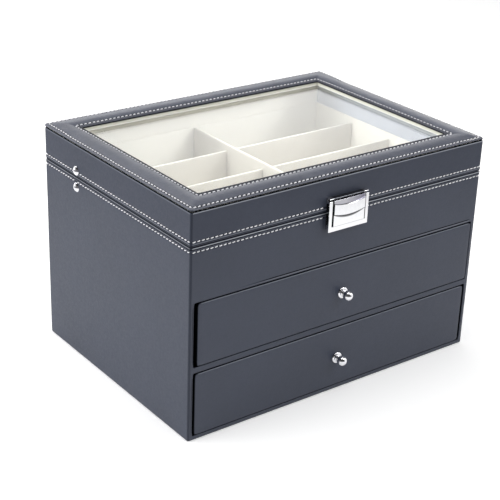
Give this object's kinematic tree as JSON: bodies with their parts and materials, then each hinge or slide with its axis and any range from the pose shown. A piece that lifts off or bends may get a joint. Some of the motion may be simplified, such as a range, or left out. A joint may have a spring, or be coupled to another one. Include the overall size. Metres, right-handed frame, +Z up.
{
  "type": "sunglasses display case",
  "caption": "Leather-covered sunglasses display case with a hinged glass-topped lid over a divided tray, a front clasp and two divided drawers with ball knobs.",
  "frame": {"origin": "centre of the flat underside of the case, between the outer faces of its side walls and of its front and back", "axes": "+Z up, +X to the right seen from the front, -Y out of the front where the drawers open"},
  "size_m": [0.3424, 0.2675, 0.2258],
  "materials": {
    "leather_grey": "satin grained leather, slate grey",
    "frame_leather": "padded grained leather, slate grey",
    "board": "medium density fibre board",
    "velvet_cream": "cream velvet",
    "glass_clear": "clear float glass",
    "chrome": "polished chrome",
    "steel": "zinc plated steel",
    "stay_leather": "thin leather strap"
  },
  "bodies": {
    "case": {"base_board": "board", "left_side_board": "board", "right_side_board": "board", "back_board": "board", "front_panel_board": "board", "drawer_shelf_board": "board", "tray_floor_board": "board", "case_leather": "leather_grey", "tray_lining": "velvet_cream", "tray_long_divider": "velvet_cream", "tray_front_cross_divider": "velvet_cream", "tray_middle_cross_divider": "velvet_cream", "tray_rear_cross_divider": "velvet_cream", "left_hinge_case_leaf": "chrome", "right_hinge_case_leaf": "chrome", "case_hinge_screws": "steel", "case_stay_rivet": "chrome", "clasp_catch": "chrome"},
    "lid": {"lid_left_board": "board", "lid_right_board": "board", "lid_front_board": "board", "lid_back_board": "board", "lid_window_board": "board", "lid_side_leather": "leather_grey", "lid_padded_frame": "frame_leather", "glass_pane": "glass_clear", "glass_retainer": "velvet_cream", "window_edge_band": "velvet_cream", "lid_lining": "velvet_cream", "left_hinge_lid_leaf": "chrome", "right_hinge_lid_leaf": "chrome", "hinge_pins": "steel", "lid_hinge_screws": "steel", "lid_stay_rivet": "chrome", "lid_stay_strap": "stay_leather", "clasp_bracket": "chrome", "clasp_pin": "steel"},
    "clasp_flap": {"clasp_flap": "chrome"},
    "upper_drawer": {"upper_drawer_front_board": "board", "upper_drawer_left_board": "board", "upper_drawer_right_board": "board", "upper_drawer_back_board": "board", "upper_drawer_bottom_board": "board", "upper_drawer_front_leather": "leather_grey", "upper_drawer_lining": "velvet_cream", "upper_drawer_long_divider": "velvet_cream", "upper_drawer_cross_dividers": "velvet_cream", "upper_drawer_knob": "chrome", "upper_drawer_knob_screw": "steel"},
    "lower_drawer": {"lower_drawer_front_board": "board", "lower_drawer_left_board": "board", "lower_drawer_right_board": "board", "lower_drawer_back_board": "board", "lower_drawer_bottom_board": "board", "lower_drawer_front_leather": "leather_grey", "lower_drawer_lining": "velvet_cream", "lower_drawer_long_divider": "velvet_cream", "lower_drawer_cross_dividers": "velvet_cream", "lower_drawer_knob": "chrome", "lower_drawer_knob_screw": "steel"}
  },
  "joints": [
    {"name": "lid_hinge", "type": "hinge", "parent": "case", "child": "lid", "pos_m": [0, 0.1275, 0.1888], "axis": [-1, 0, 0], "range_deg": [0, 95], "deforming": ["lid_stay_strap"]},
    {"name": "clasp_pivot", "type": "hinge", "parent": "lid", "child": "clasp_flap", "pos_m": [-0.002, -0.1278, 0.1993], "axis": [-1, 0, 0], "range_deg": [0, 70]},
    {"name": "upper_drawer_slide", "type": "slide", "parent": "case", "child": "upper_drawer", "axis": [0, -1, 0], "range_m": [0, 0.18]},
    {"name": "lower_drawer_slide", "type": "slide", "parent": "case", "child": "lower_drawer", "axis": [0, -1, 0], "range_m": [0, 0.18]}
  ]
}
